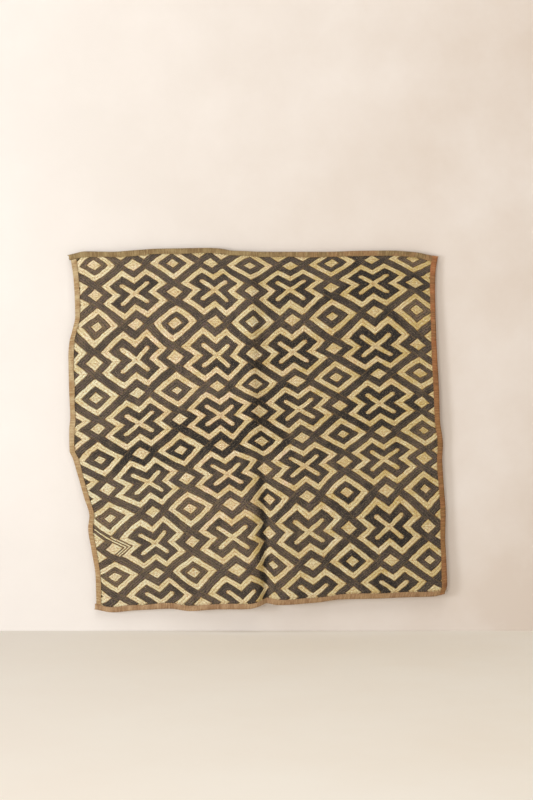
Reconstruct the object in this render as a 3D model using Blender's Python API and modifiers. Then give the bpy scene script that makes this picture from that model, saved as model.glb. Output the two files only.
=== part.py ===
# Kuba raffia cloth: one embroidered panel with four folded binding strips, hanging by its top edge.
# Metres, +Z up. X runs to the right as the cloth is seen from the front, and the front faces -Y.
# The origin is the middle of the top edge.
import bisect
import math

import bmesh
import bpy
import numpy as np

MM = 0.001

# Driving sizes, in millimetres. The panel's two sides set how shares of it turn into lengths.
ACROSS_SIZE = 585.0
DOWN_SIZE = 555.0
PANEL_THICKNESS = 1.6
BINDING_THICKNESS = 0.7
BINDING_WIDTH = 8.0
# Clear space between the panel and a strip's legs, and between its edge and the strip's turn
GAP = 0.5
EDGE_GAP = 0.4
TIP_PAST_CORNER = 2.0

# Spacing of the sheet's points: on the open cloth, across the centre fold and across the crease
COARSE_STEP = 20.0
FOLD_STEP = 2.3
CREASE_STEP = 8.0
# Where the close spacing lies, from the left edge and from the top edge
FOLD_SPAN = (276.0, 338.0)
CREASE_SPAN = (270.0, 340.0)

# What the binding adds outside the panel's own edge
BINDING_REACH = EDGE_GAP + BINDING_THICKNESS

# The finished outline, a row for each turn of an edge: (across, up)
TOP_EDGE = [
    (-289.6, -4.4), (-266.0, 0.3), (-225.6, -0.5), (-185.0, 2.2), (-155.0, 4.1), (-110.0, 4.9),
    (-74.0, 5.5), (-55.0, 4.7), (-34.0, 1.1), (-14.0, 0.3), (10.0, -0.5), (114.0, -0.5),
    (165.0, 1.1), (215.0, 1.6), (256.0, -0.9), (276.0, -4.9), (291.0, -7.6),
]
BOTTOM_EDGE = [
    (-247.7, -565.0), (-223.6, -568.8), (-192.0, -565.6), (-161.6, -563.6), (-131.0, -562.2),
    (-99.7, -565.6), (-58.0, -562.5), (-17.0, -561.5), (-6.0, -560.6), (14.5, -555.4),
    (25.0, -553.3), (45.7, -555.4), (97.0, -552.2), (138.6, -547.0), (190.0, -546.0),
    (242.0, -544.0), (283.0, -542.9), (300.6, -539.0),
]
LEFT_EDGE = [
    (-289.6, -4.4), (-284.1, -40.8), (-282.0, -71.4), (-281.1, -101.6), (-286.0, -125.8),
    (-290.1, -141.9), (-292.1, -165.6), (-291.2, -217.0), (-289.1, -262.9), (-290.7, -281.7),
    (-290.7, -313.6), (-285.7, -326.7), (-279.3, -347.3), (-267.0, -389.0), (-258.8, -417.9),
    (-260.7, -436.6), (-255.6, -471.6), (-249.3, -513.2), (-247.7, -565.0),
]
RIGHT_EDGE = [
    (291.0, -7.6), (287.2, -31.3), (286.3, -61.3), (288.2, -141.9), (290.2, -182.3),
    (292.3, -222.5), (293.2, -262.9), (298.6, -306.2), (297.4, -326.7), (299.7, -367.8),
    (302.7, -413.6), (301.8, -450.9), (303.7, -492.6), (304.6, -525.0), (300.6, -539.0),
]

# How far the cloth stands forward at each level:
# (share down, left edge, left middle, beside the fold, right middle, right edge)
STANDING = [
    (0.00, -3.0, 0.5, -1.5, -2.0, -3.0),
    (0.10, -2.0, 5.0, 7.5, 4.0, -1.0),
    (0.22, 0.5, 6.5, 13.5, 7.0, 1.5),
    (0.34, -4.5, 6.0, 15.5, 8.0, 2.0),
    (0.50, -1.0, 5.0, 13.0, 8.5, 5.0),
    (0.60, -3.0, 4.5, 10.5, 7.0, 3.5),
    (0.75, -1.0, 8.0, 11.0, 11.0, 1.5),
    (0.88, -4.0, 8.5, 12.0, 9.5, 4.0),
    (1.00, -2.0, 7.0, 11.0, 9.0, 6.0),
]
STANDING_ACROSS = (0.0, 0.26, 0.49, 0.74, 1.0)

# The line of the centre fold: (share down, across)
FOLD_LINE = [(0.00, -8.0), (0.15, -6.0), (0.45, -4.0), (0.56, 2.0), (0.70, 12.0), (1.00, 15.5)]
# Above the cross crease it is a ridge: (along the cloth, forward)
RIDGE = [
    (-120.0, 0.0), (-60.0, 2.2), (-26.0, 6.4), (-8.0, 9.6), (-1.0, 10.6), (4.0, 9.8),
    (12.0, 5.2), (20.0, 1.8), (30.0, 0.0),
]
# Below it the left half turns down into a narrow valley: (along the cloth, across, forward)
ROLL = [
    (-95.0, -95.0, 0.0), (-60.0, -60.0, 2.4), (-34.0, -33.8, 5.8), (-20.0, -19.2, 7.4),
    (-12.5, -11.4, 6.6), (-6.0, -5.4, 3.8), (0.5, -0.8, -0.2), (5.0, 2.2, -3.2), (9.5, 5.6, -4.4),
    (14.0, 9.4, -2.9), (19.0, 13.8, -0.6), (29.0, 22.8, 2.2), (45.0, 38.6, 2.8), (70.0, 66.8, 1.2),
    (90.0, 90.0, 0.0),
]
# How strong each of the two is: (share down, ridge, roll)
FOLD_STRENGTH = [
    (0.00, 0.30, 0.0), (0.10, 0.75, 0.0), (0.22, 1.0, 0.0), (0.46, 1.0, 0.0),
    (0.55, 0.50, 0.12), (0.64, 0.10, 0.50), (0.76, 0.0, 0.90), (0.84, 0.0, 1.0), (1.00, 0.0, 1.0),
]

# The cross crease, a shallow valley: (share across, up)
CREASE_LINE = [
    (0.00, -325.0), (0.16, -316.0), (0.34, -309.0), (0.50, -300.0), (0.62, -292.0),
    (0.74, -289.0), (0.88, -297.0), (1.00, -305.0),
]
CREASE_DEPTH = 5.0
CREASE_ABOVE = 20.0
CREASE_BELOW = 30.0

# The strips, as colour and the surface's roughness
PANEL_FINISH = ((0.27, 0.22, 0.15), 0.85)
STRIP_FINISH = {
    "binding_top": ((0.33, 0.24, 0.13), 0.8),
    "binding_bottom": ((0.36, 0.26, 0.15), 0.8),
    "binding_left": ((0.42, 0.28, 0.15), 0.8),
    "binding_right": ((0.34, 0.20, 0.09), 0.8),
}


def smooth_between(rows, at, column=1):
    """The column's value at a place along the first column, on a curve without overshoot."""
    places = [row[0] for row in rows]
    values = [row[column] for row in rows]
    at = min(max(at, places[0]), places[-1])
    i = min(max(bisect.bisect_right(places, at) - 1, 0), len(rows) - 2)
    steps = [(values[k + 1] - values[k]) / (places[k + 1] - places[k]) for k in range(len(rows) - 1)]

    def slope(k):
        if k in (0, len(rows) - 1):
            return steps[0] if k == 0 else steps[-1]
        before, after = steps[k - 1], steps[k]
        if before * after <= 0:
            return 0.0
        return 2 * before * after / (before + after)

    width = places[i + 1] - places[i]
    u = (at - places[i]) / width
    start, end = slope(i) * width, slope(i + 1) * width
    return (
        values[i] * (1 + 2 * u) * (1 - u) ** 2 + start * u * (1 - u) ** 2
        + values[i + 1] * u * u * (3 - 2 * u) - end * u * u * (1 - u)
    )


def edge_rows(edge, run):
    """An edge's rows as (share along it, across, up); run is the column that the share follows."""
    first, last = edge[0][run], edge[-1][run]
    return [((point[run] - first) / (last - first), *point) for point in edge]


def inset_edges():
    """The panel's own four edges, which lie inside the finished outline by the binding's reach."""
    inward = {"top": (0, -1), "bottom": (0, 1), "left": (1, 0), "right": (-1, 0)}
    given = {"top": TOP_EDGE, "bottom": BOTTOM_EDGE, "left": LEFT_EDGE, "right": RIGHT_EDGE}
    moved = {}
    for name, edge in given.items():
        step = inward[name]
        shifted = [(x + step[0] * BINDING_REACH, z + step[1] * BINDING_REACH) for x, z in edge]
        moved[name] = edge_rows(shifted, 0 if name in ("top", "bottom") else 1)
    return moved


EDGES = inset_edges()


def edge_point(name, share):
    rows = EDGES[name]
    return np.array([smooth_between(rows, share, 1), smooth_between(rows, share, 2)])


CORNERS = {
    (0, 0): (edge_point("top", 0) + edge_point("left", 0)) / 2,
    (1, 0): (edge_point("top", 1) + edge_point("right", 0)) / 2,
    (0, 1): (edge_point("bottom", 0) + edge_point("left", 1)) / 2,
    (1, 1): (edge_point("bottom", 1) + edge_point("right", 1)) / 2,
}


def front_place(across, down):
    """Where a point of the cloth is seen from the front: a patch stretched between the four edges."""
    sides = (1 - across) * edge_point("left", down) + across * edge_point("right", down)
    ends = (1 - down) * edge_point("top", across) + down * edge_point("bottom", across)
    corners = sum(
        (across if i else 1 - across) * (down if j else 1 - down) * point
        for (i, j), point in CORNERS.items()
    )
    return sides + ends - corners


def standing(across, down):
    row = [(place, smooth_between(STANDING, down, k + 1)) for k, place in enumerate(STANDING_ACROSS)]
    return smooth_between(row, across)


def inside_point(across, down):
    x, z = front_place(across, down)
    forward = standing(across, down)
    line = smooth_between(FOLD_LINE, down)
    along = x - line
    ridge = smooth_between(FOLD_STRENGTH, down, 1)
    roll = smooth_between(FOLD_STRENGTH, down, 2)
    forward += ridge * smooth_between(RIDGE, along)
    if ROLL[0][0] < along < ROLL[-1][0]:
        x += roll * (smooth_between(ROLL, along, 1) - along)
        forward += roll * smooth_between(ROLL, along, 2)
    off = z - smooth_between(CREASE_LINE, across)
    reach = CREASE_ABOVE if off > 0 else CREASE_BELOW
    forward -= CREASE_DEPTH * math.exp(-abs(off) / reach)
    return np.array([x, -forward, z])


def cloth_point(across, down):
    """A point of the panel's middle layer, in millimetres, carried on straight past the edges."""
    held = (min(max(across, 0), 1), min(max(down, 0), 1))
    point = inside_point(*held)
    small = 0.002
    if across != held[0]:
        back = held[0] + small if across < 0 else held[0] - small
        step = (point - inside_point(back, held[1])) / small
        point = point + step * abs(across - held[0])
    if down != held[1]:
        back = held[1] + small if down < 0 else held[1] - small
        step = (point - inside_point(held[0], back)) / small
        point = point + step * abs(down - held[1])
    return point


def cloth_normal(across, down):
    """The direction that the cloth's face looks in at a point."""
    small = FOLD_STEP / ACROSS_SIZE
    right = cloth_point(across + small, down) - cloth_point(across - small, down)
    below = cloth_point(across, down + small) - cloth_point(across, down - small)
    normal = np.cross(right, -below)
    return normal / np.linalg.norm(normal)


def stations(size, fine_from, fine_to, fine_step, margin):
    """Places along one side, 0 to 1: close together between the two fine places, wider elsewhere."""
    places = [0.0, margin / 2, margin]
    for start, end, step in (
        (margin, fine_from, COARSE_STEP), (fine_from, fine_to, fine_step),
        (fine_to, size - margin, COARSE_STEP),
    ):
        count = max(1, round((end - start) / step))
        places += [start + (end - start) * (k + 1) / count for k in range(count)]
    return [place / size for place in places + [size]]


COLUMNS = stations(ACROSS_SIZE, *FOLD_SPAN, FOLD_STEP, BINDING_WIDTH)
ROWS = stations(DOWN_SIZE, *CREASE_SPAN, CREASE_STEP, BINDING_WIDTH)


def principled(name, colour, roughness):
    material = bpy.data.materials.new(name)
    material.use_nodes = True
    shader = material.node_tree.nodes["Principled BSDF"]
    shader.inputs["Base Color"].default_value = (*colour, 1)
    shader.inputs["Roughness"].default_value = roughness
    shader.inputs["Metallic"].default_value = 0
    return material


def sheet(name, collection, across_count, down_count, place, thickness, finish):
    """An open grid of points set by place(column, row), given its thickness by Solidify."""
    bm = bmesh.new()
    bmesh.ops.create_grid(bm, x_segments=across_count - 1, y_segments=down_count - 1, size=0.5)
    for vert in bm.verts:
        column = round((vert.co.x + 0.5) * (across_count - 1))
        row = round((0.5 - vert.co.y) * (down_count - 1))
        vert.co = place(column, row) * MM
    bmesh.ops.recalc_face_normals(bm, faces=bm.faces)
    mesh = bpy.data.meshes.new(name)
    bm.to_mesh(mesh)
    bm.free()
    mesh.shade_smooth()
    mesh.materials.append(principled(name, *finish))
    obj = bpy.data.objects.new(name, mesh)
    collection.objects.link(obj)
    shell = obj.modifiers.new("Thickness", "SOLIDIFY")
    shell.thickness = thickness * MM
    shell.offset = 0
    shell.use_even_offset = True
    return obj


def raffia_panel(collection):
    def place(column, row):
        return cloth_point(COLUMNS[column], ROWS[row])

    sheet("raffia_panel", collection, len(COLUMNS), len(ROWS), place, PANEL_THICKNESS, PANEL_FINISH)


def folded_section():
    """The strip's middle layer across its fold: (inward from the panel's edge, forward)."""
    leg = (PANEL_THICKNESS + BINDING_THICKNESS) / 2 + GAP
    outer = EDGE_GAP + BINDING_THICKNESS / 2
    turn = GAP
    inner = BINDING_WIDTH - EDGE_GAP
    half = [(inner, leg), (inner / 2, leg), (turn - outer, leg), (-outer, leg - turn)]
    return half + [(inward, -forward) for inward, forward in reversed(half)]


def binding(collection, name, places, spot):
    """A strip folded over one edge. spot(place, inward) gives shares across and down the cloth."""
    section = folded_section()

    def place(column, row):
        inward, forward = section[row]
        at = spot(places[column], inward)
        edge = spot(places[column], max(inward, 0))
        return cloth_point(*at) + cloth_normal(*edge) * forward

    sheet(name, collection, len(places), len(section), place, BINDING_THICKNESS, STRIP_FINISH[name])


def bindings(collection):
    inner_x = BINDING_WIDTH / ACROSS_SIZE
    inner_z = BINDING_WIDTH / DOWN_SIZE
    past_x = (BINDING_REACH + TIP_PAST_CORNER) / ACROSS_SIZE
    past_z = BINDING_REACH / DOWN_SIZE
    # The two cross strips run past the left corners and stop at the right strip
    over = [-past_x] + [place for place in COLUMNS if place <= 1 - inner_x + 1e-6]
    # The left strip lies between them, and the right one runs the whole height
    between = [place for place in ROWS if inner_z - 1e-6 <= place <= 1 - inner_z + 1e-6]
    whole = [-past_z] + ROWS + [1 + past_z]
    binding(collection, "binding_top", over, lambda at, inward: (at, inward / DOWN_SIZE))
    binding(collection, "binding_bottom", over, lambda at, inward: (at, 1 - inward / DOWN_SIZE))
    binding(collection, "binding_left", between, lambda at, inward: (inward / ACROSS_SIZE, at))
    binding(collection, "binding_right", whole, lambda at, inward: (1 - inward / ACROSS_SIZE, at))


def main():
    for obj in list(bpy.data.objects):
        bpy.data.objects.remove(obj, do_unlink=True)
    collection = bpy.data.collections.new("kuba_raffia_cloth")
    bpy.context.scene.collection.children.link(collection)
    raffia_panel(collection)
    bindings(collection)


main()
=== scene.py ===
# Kuba raffia cloth: one embroidered raffia panel, bound on four sides, hanging by its top edge
import math

import bmesh
import bpy
import numpy as np
from mathutils import Matrix, Vector


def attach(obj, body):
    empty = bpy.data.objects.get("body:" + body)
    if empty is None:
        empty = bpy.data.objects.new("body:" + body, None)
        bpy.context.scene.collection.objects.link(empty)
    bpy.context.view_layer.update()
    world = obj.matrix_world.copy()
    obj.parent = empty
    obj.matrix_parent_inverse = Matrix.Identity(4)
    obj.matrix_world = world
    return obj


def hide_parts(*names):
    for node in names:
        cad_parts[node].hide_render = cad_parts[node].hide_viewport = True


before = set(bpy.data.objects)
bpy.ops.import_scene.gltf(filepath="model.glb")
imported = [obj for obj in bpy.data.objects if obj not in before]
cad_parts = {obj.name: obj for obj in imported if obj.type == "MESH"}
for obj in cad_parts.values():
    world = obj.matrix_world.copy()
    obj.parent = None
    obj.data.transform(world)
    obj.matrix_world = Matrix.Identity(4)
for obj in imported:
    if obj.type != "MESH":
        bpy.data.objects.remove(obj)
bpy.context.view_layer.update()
mm = 0.001

# The cloth's shape, in millimetres from the middle of its top edge. The rows are the part's own.
cloth = {
    "acrossSize": 585.0,
    "downSize": 555.0,
    "bindingReach": 1.1,  # how far the binding stands outside the panel's own edge
    "creaseDepth": 5.0,
    "creaseAbove": 20.0,
    "creaseBelow": 30.0,
}
# each turn of an edge: (across, up)
topEdge = [
    (-289.6, -4.4), (-266.0, 0.3), (-225.6, -0.5), (-185.0, 2.2), (-155.0, 4.1), (-110.0, 4.9),
    (-74.0, 5.5), (-55.0, 4.7), (-34.0, 1.1), (-14.0, 0.3), (10.0, -0.5), (114.0, -0.5),
    (165.0, 1.1), (215.0, 1.6), (256.0, -0.9), (276.0, -4.9), (291.0, -7.6),
]
bottomEdge = [
    (-247.7, -565.0), (-223.6, -568.8), (-192.0, -565.6), (-161.6, -563.6), (-131.0, -562.2),
    (-99.7, -565.6), (-58.0, -562.5), (-17.0, -561.5), (-6.0, -560.6), (14.5, -555.4),
    (25.0, -553.3), (45.7, -555.4), (97.0, -552.2), (138.6, -547.0), (190.0, -546.0),
    (242.0, -544.0), (283.0, -542.9), (300.6, -539.0),
]
leftEdge = [
    (-289.6, -4.4), (-284.1, -40.8), (-282.0, -71.4), (-281.1, -101.6), (-286.0, -125.8),
    (-290.1, -141.9), (-292.1, -165.6), (-291.2, -217.0), (-289.1, -262.9), (-290.7, -281.7),
    (-290.7, -313.6), (-285.7, -326.7), (-279.3, -347.3), (-267.0, -389.0), (-258.8, -417.9),
    (-260.7, -436.6), (-255.6, -471.6), (-249.3, -513.2), (-247.7, -565.0),
]
rightEdge = [
    (291.0, -7.6), (287.2, -31.3), (286.3, -61.3), (288.2, -141.9), (290.2, -182.3),
    (292.3, -222.5), (293.2, -262.9), (298.6, -306.2), (297.4, -326.7), (299.7, -367.8),
    (302.7, -413.6), (301.8, -450.9), (303.7, -492.6), (304.6, -525.0), (300.6, -539.0),
]
# how far the cloth stands forward: (share down, left edge, left middle, fold, right middle, right edge)
standing = [
    (0.00, -3.0, 0.5, -1.5, -2.0, -3.0),
    (0.10, -2.0, 5.0, 7.5, 4.0, -1.0),
    (0.22, 0.5, 6.5, 13.5, 7.0, 1.5),
    (0.34, -4.5, 6.0, 15.5, 8.0, 2.0),
    (0.50, -1.0, 5.0, 13.0, 8.5, 5.0),
    (0.60, -3.0, 4.5, 10.5, 7.0, 3.5),
    (0.75, -1.0, 8.0, 11.0, 11.0, 1.5),
    (0.88, -4.0, 8.5, 12.0, 9.5, 4.0),
    (1.00, -2.0, 7.0, 11.0, 9.0, 6.0),
]
standingAcross = (0.0, 0.26, 0.49, 0.74, 1.0)
# the line of the centre fold: (share down, across)
foldLine = [(0.00, -8.0), (0.15, -6.0), (0.45, -4.0), (0.56, 2.0), (0.70, 12.0), (1.00, 15.5)]
# a ridge above the cross crease: (along the cloth, forward)
ridge = [
    (-120.0, 0.0), (-60.0, 2.2), (-26.0, 6.4), (-8.0, 9.6), (-1.0, 10.6), (4.0, 9.8),
    (12.0, 5.2), (20.0, 1.8), (30.0, 0.0),
]
# below it the left half turns down into a narrow valley: (along the cloth, across, forward)
roll = [
    (-95.0, -95.0, 0.0), (-60.0, -60.0, 2.4), (-34.0, -33.8, 5.8), (-20.0, -19.2, 7.4),
    (-12.5, -11.4, 6.6), (-6.0, -5.4, 3.8), (0.5, -0.8, -0.2), (5.0, 2.2, -3.2), (9.5, 5.6, -4.4),
    (14.0, 9.4, -2.9), (19.0, 13.8, -0.6), (29.0, 22.8, 2.2), (45.0, 38.6, 2.8), (70.0, 66.8, 1.2),
    (90.0, 90.0, 0.0),
]
# how strong the two are: (share down, ridge, roll)
foldStrength = [
    (0.00, 0.30, 0.0), (0.10, 0.75, 0.0), (0.22, 1.0, 0.0), (0.46, 1.0, 0.0),
    (0.55, 0.50, 0.12), (0.64, 0.10, 0.50), (0.76, 0.0, 0.90), (0.84, 0.0, 1.0), (1.00, 0.0, 1.0),
]
# the cross crease, a shallow valley: (share across, up)
creaseLine = [
    (0.00, -325.0), (0.16, -316.0), (0.34, -309.0), (0.50, -300.0), (0.62, -292.0),
    (0.74, -289.0), (0.88, -297.0), (1.00, -305.0),
]


def smoothCurve(places, values, at, carryOn=False):
    # values is one row a place, and may differ from point to point; carryOn runs straight past the ends
    places = np.asarray(places, float)
    values = np.asarray(values, float)
    if values.ndim == 1:
        values = values[:, None]
    held = np.clip(at, places[0], places[-1])
    i = np.clip(np.searchsorted(places, held, side="right") - 1, 0, len(places) - 2)
    steps = np.diff(values, axis=0) / np.diff(places)[:, None]
    slopes = np.zeros_like(values)
    slopes[0], slopes[-1] = steps[0], steps[-1]
    product = steps[:-1] * steps[1:]
    rising = product > 0
    total = np.where(rising, steps[:-1] + steps[1:], 1.0)
    slopes[1:-1] = np.where(rising, 2 * product / total, 0.0)
    n = np.arange(values.shape[1]) if values.shape[1] > 1 else np.zeros(len(held), int)
    width = places[i + 1] - places[i]
    u = (held - places[i]) / width
    low, high = values[i, n], values[i + 1, n]
    start, end = slopes[i, n] * width, slopes[i + 1, n] * width
    curve = (
        low * (1 + 2 * u) * (1 - u) ** 2 + start * u * (1 - u) ** 2
        + high * u * u * (3 - 2 * u) - end * u * u * (1 - u)
    )
    if carryOn:
        curve = curve + np.where(at < held, slopes[0, n], slopes[-1, n]) * (at - held)
    return curve


def readAt(rows, k, at):
    # value k of the rows, between them where their first value passes through at
    return smoothCurve([row[0] for row in rows], [row[k] for row in rows], at)


def insetEdge(edge, run, inward):
    # the panel's own edge as shares along it and places, inside the finished outline
    points = np.array(edge) + np.array(inward) * cloth["bindingReach"]
    shares = (points[:, run] - points[0, run]) / (points[-1, run] - points[0, run])
    return shares, points[:, 0], points[:, 1]


edges = {
    "top": insetEdge(topEdge, 0, (0, -1)),
    "bottom": insetEdge(bottomEdge, 0, (0, 1)),
    "left": insetEdge(leftEdge, 1, (1, 0)),
    "right": insetEdge(rightEdge, 1, (-1, 0)),
}


def edgePoint(name, share):
    shares, x, z = edges[name]
    return np.stack([smoothCurve(shares, x, share), smoothCurve(shares, z, share)], axis=1)


def cornerPoint(i, j):
    # i is 1 on the right, j is 1 at the bottom
    first = edgePoint(("top", "bottom")[j], np.array([float(i)]))
    return (first + edgePoint(("left", "right")[i], np.array([float(j)]))) / 2


corners = {(i, j): cornerPoint(i, j) for i, j in ((0, 0), (1, 0), (0, 1), (1, 1))}


def insidePoint(across, down):
    a, d = across[:, None], down[:, None]
    flat = (1 - a) * edgePoint("left", down) + a * edgePoint("right", down)
    flat += (1 - d) * edgePoint("top", across) + d * edgePoint("bottom", across)
    for (i, j), point in corners.items():
        flat -= (a if i else 1 - a) * (d if j else 1 - d) * point
    x, z = flat[:, 0], flat[:, 1]
    stands = np.array([readAt(standing, k + 1, down) for k in range(5)])
    forward = smoothCurve(standingAcross, stands, across)
    along = x - readAt(foldLine, 1, down)
    rollShare = readAt(foldStrength, 2, down)
    forward = forward + readAt(foldStrength, 1, down) * readAt(ridge, 1, along)
    inRoll = (along > roll[0][0]) & (along < roll[-1][0])
    aside = readAt(roll, 1, along) - along
    x = x + np.where(inRoll, rollShare * aside, 0.0)
    forward = forward + rollShare * readAt(roll, 2, along)
    off = z - readAt(creaseLine, 1, across)
    reach = np.where(off > 0, cloth["creaseAbove"], cloth["creaseBelow"])
    forward = forward - cloth["creaseDepth"] * np.exp(-np.abs(off) / reach)
    return np.stack([x, -forward, z], axis=1)


def clothPoint(across, down):
    # a point of the panel's middle layer, in millimetres, carried on straight past the edges
    heldAcross, heldDown = np.clip(across, 0, 1), np.clip(down, 0, 1)
    point = insidePoint(heldAcross, heldDown)
    small = 0.002
    inward = np.where(across < 0.5, small, -small)
    step = (point - insidePoint(heldAcross + inward, heldDown)) / small
    point = point + step * np.abs(across - heldAcross)[:, None]
    inward = np.where(down < 0.5, small, -small)
    step = (point - insidePoint(heldAcross, heldDown + inward)) / small
    return point + np.where((down != heldDown)[:, None], step * np.abs(down - heldDown)[:, None], 0)


def clothNormal(across, down):
    small = 0.003
    right = clothPoint(across + small, down) - clothPoint(across - small, down)
    below = clothPoint(across, down + small) - clothPoint(across, down - small)
    normal = np.cross(right, -below)
    return normal / np.linalg.norm(normal, axis=1)[:, None]


print("cloth's shape is ready")


# Helpers for meshes, nodes and colours
def inScene(name, data):
    thing = bpy.data.objects.new(name, data)
    bpy.context.scene.collection.objects.link(thing)
    return thing


def meshPiece(name, points, quads, material):
    mesh = bpy.data.meshes.new(name)
    mesh.vertices.add(len(points))
    mesh.vertices.foreach_set("co", np.asarray(points, np.float32).ravel())
    mesh.loops.add(quads.size)
    mesh.loops.foreach_set("vertex_index", quads.astype(np.int32).ravel())
    mesh.polygons.add(len(quads))
    mesh.polygons.foreach_set("loop_start", np.arange(0, quads.size, 4, dtype=np.int32))
    mesh.polygons.foreach_set("material_index", np.zeros(len(quads), np.int32))
    mesh.update(calc_edges=True)
    mesh.materials.append(material)
    mesh.shade_smooth()
    return inScene(name, mesh)


def gridQuads(rows, columns):
    first = (np.arange(rows - 1)[:, None] * columns + np.arange(columns - 1)[None, :]).ravel()
    return np.stack([first, first + columns, first + columns + 1, first + 1], axis=1)


def linearColour(hexColour):
    parts = [int(hexColour[k:k + 2], 16) / 255 for k in (1, 3, 5)]
    return (*[p / 12.92 if p <= 0.04045 else ((p + 0.055) / 1.055) ** 2.4 for p in parts], 1.0)


def addNode(tree, kind, sockets=None, **settings):
    # shader nodes go by short names; an input takes a value, an output, or a node for its first output
    node = tree.nodes.new(kind if "Node" in kind else "ShaderNode" + kind)
    for key, value in settings.items():
        setattr(node, key, value)
    for key, value in (sockets or {}).items():
        if isinstance(value, bpy.types.Node):
            value = value.outputs[0]
        if isinstance(value, bpy.types.NodeSocket):
            tree.links.new(value, node.inputs[key])
        else:
            node.inputs[key].default_value = value
    return node


def newMaterial(name):
    material = bpy.data.materials.new(name)
    material.use_nodes = True
    tree = material.node_tree
    return material, tree, tree.nodes["Principled BSDF"]


def applyModifiers(piece):
    graph = bpy.context.evaluated_depsgraph_get()
    finished = bpy.data.meshes.new_from_object(piece.evaluated_get(graph))
    old = piece.data
    piece.modifiers.clear()
    piece.data = finished
    bpy.data.meshes.remove(old)
    finished.name = piece.name


def faceOutwards(mesh):
    bm = bmesh.new()
    bm.from_mesh(mesh)
    bmesh.ops.remove_doubles(bm, verts=bm.verts, dist=0.00001)
    bmesh.ops.recalc_face_normals(bm, faces=bm.faces)
    bm.to_mesh(mesh)
    bm.free()


def setMap(piece, name, places):
    # one place for each face corner
    layer = piece.data.uv_layers.new(name=name)
    layer.data.foreach_set("uv", places.astype(np.float32).ravel())


def thicken(piece, thickness, offset):
    shell = piece.modifiers.new("Thickness", "SOLIDIFY")
    shell.thickness = thickness * mm
    shell.offset = offset
    applyModifiers(piece)
    print(piece.name, len(piece.data.polygons), "faces")


# Embroidery, charted on a square net that lies slantwise on the cloth. A row of stitches is 2.5 steps
# of the net wide. Motifs are 26 steps apart along either slant.
embroidery = {
    "motifGap": 26,
    "crossLine": 2,  # half width of the thin cross
    "crossLength": 17,
    "crossDark": 7,  # width of the dark band round it
    "crossEdge": 12,  # and of the dark band with the light outline
    "diamondCore": 4,
    "diamondDark": 10,
    "diamondEdge": 15,
    "smallCore": 5,
    "bandWidth": 8,  # of a band where it passes a small diamond
    "rowWidth": 2.5,  # of one row of stitches
    "groove": 0.78,  # heights over the cloth's middle layer, mm
    "crest": 1.28,
    "thickness": 0.5,
    "trim": 4.2,  # how far inside the panel's edge the stitching ends, mm
    "netStep": 1.55,  # mm on the cloth
    "wander": 0.55,  # how far rows stray, in net steps: over a long stretch, and from motif to motif
    "stray": 0.26,
    "coreLarger": (0.04, 0.2),  # how much larger hearts are sewn, and how unevenly
    "smallLarger": (0.04, 0.09),
    "rounder": 0.07,
    "fade": (8, 7),  # net steps round a large or small diamond in which that fades out
    "seed": 7,
}
# The motif rows as sewn, top to bottom, alternately of diamonds and crosses:
# (share down at the left, middle and right, shares across of its motifs)
motifRows = [
    (0.037, 0.041, 0.018, (0.058, 0.276, 0.488, 0.715, 0.935)),
    (0.121, 0.113, 0.088, (0.165, 0.389, 0.598, 0.831)),
    (0.208, 0.201, 0.166, (0.064, 0.281, 0.494, 0.714, 0.950)),
    (0.310, 0.292, 0.268, (0.182, 0.404, 0.610, 0.836)),
    (0.407, 0.376, 0.349, (0.071, 0.292, 0.506, 0.726, 0.954)),
    (0.493, 0.454, 0.436, (0.189, 0.409, 0.621, 0.841)),
    (0.579, 0.538, 0.517, (0.072, 0.298, 0.517, 0.737, 0.955)),
    (0.660, 0.618, 0.598, (0.187, 0.411, 0.625, 0.843)),
    (0.740, 0.703, 0.688, (0.058, 0.285, 0.517, 0.728, 0.950)),
    (0.826, 0.799, 0.796, (0.182, 0.403, 0.620, 0.843)),
    (0.904, 0.890, 0.895, (0.055, 0.281, 0.520, 0.733, 0.955)),
    (0.984, 0.982, 0.984, (0.186, 0.420, 0.621, 0.853)),
]


def motifColumns():
    # places across of all nine columns in each row; a small diamond lies midway between its four neighbours
    own = [np.arange(len(row[3])) * 2 + k % 2 for k, row in enumerate(motifRows)]
    columns = np.arange(9)
    table = np.array([smoothCurve(own[k], row[3], columns.astype(float), carryOn=True)
                      for k, row in enumerate(motifRows)])
    filled = table.copy()
    for k in range(1, len(motifRows) - 1):
        between = np.setdiff1d(columns, own[k])
        filled[k, between] = table[k, between] / 2 + (table[k - 1, between] + table[k + 1, between]) / 4
    return filled


def netShares(u, v):
    # net steps to shares across and down, through the rows as sewn
    gap = embroidery["motifGap"]
    i, j = (u + v) / gap / 2 - 1, (u - v) / gap / 2
    columns, levels = np.arange(9), np.arange(len(motifRows)) - 1
    acrossRows = [smoothCurve(columns, places, i, carryOn=True) for places in motifColumns()]
    downRows = [smoothCurve([0, 4, 8], row[:3], i, carryOn=True) for row in motifRows]
    return (
        smoothCurve(levels, np.array(acrossRows), j, carryOn=True),
        smoothCurve(levels, np.array(downRows), j, carryOn=True),
    )


def wave(u, v, seed, length):
    # a gentle uneven field from -1 to 1, about length net steps from hill to hill
    draw = np.random.default_rng(seed)
    total = np.zeros_like(u, dtype=float)
    for k in range(5):
        angle, phase = draw.uniform(0, 2 * math.pi, 2)
        turn = 2 * math.pi / (length * draw.uniform(0.7, 1.5))
        total += np.sin((u * math.cos(angle) + v * math.sin(angle)) * turn + phase)
    return total / 3


def nearMotif(u, v):
    # place inside the square of the nearest cross or large diamond, and which of the two it is
    side = 2 * embroidery["motifGap"]
    a, b = np.round(u / side), np.round(v / side)
    isCross = (a + b) % 2 == 0
    return u - side * a, v - side * b, isCross, a, b


def crossRing(x, y):
    line, length = embroidery["crossLine"], embroidery["crossLength"]
    return np.minimum(np.maximum(y - line, x - length), np.maximum(x - line, y - length))


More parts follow.
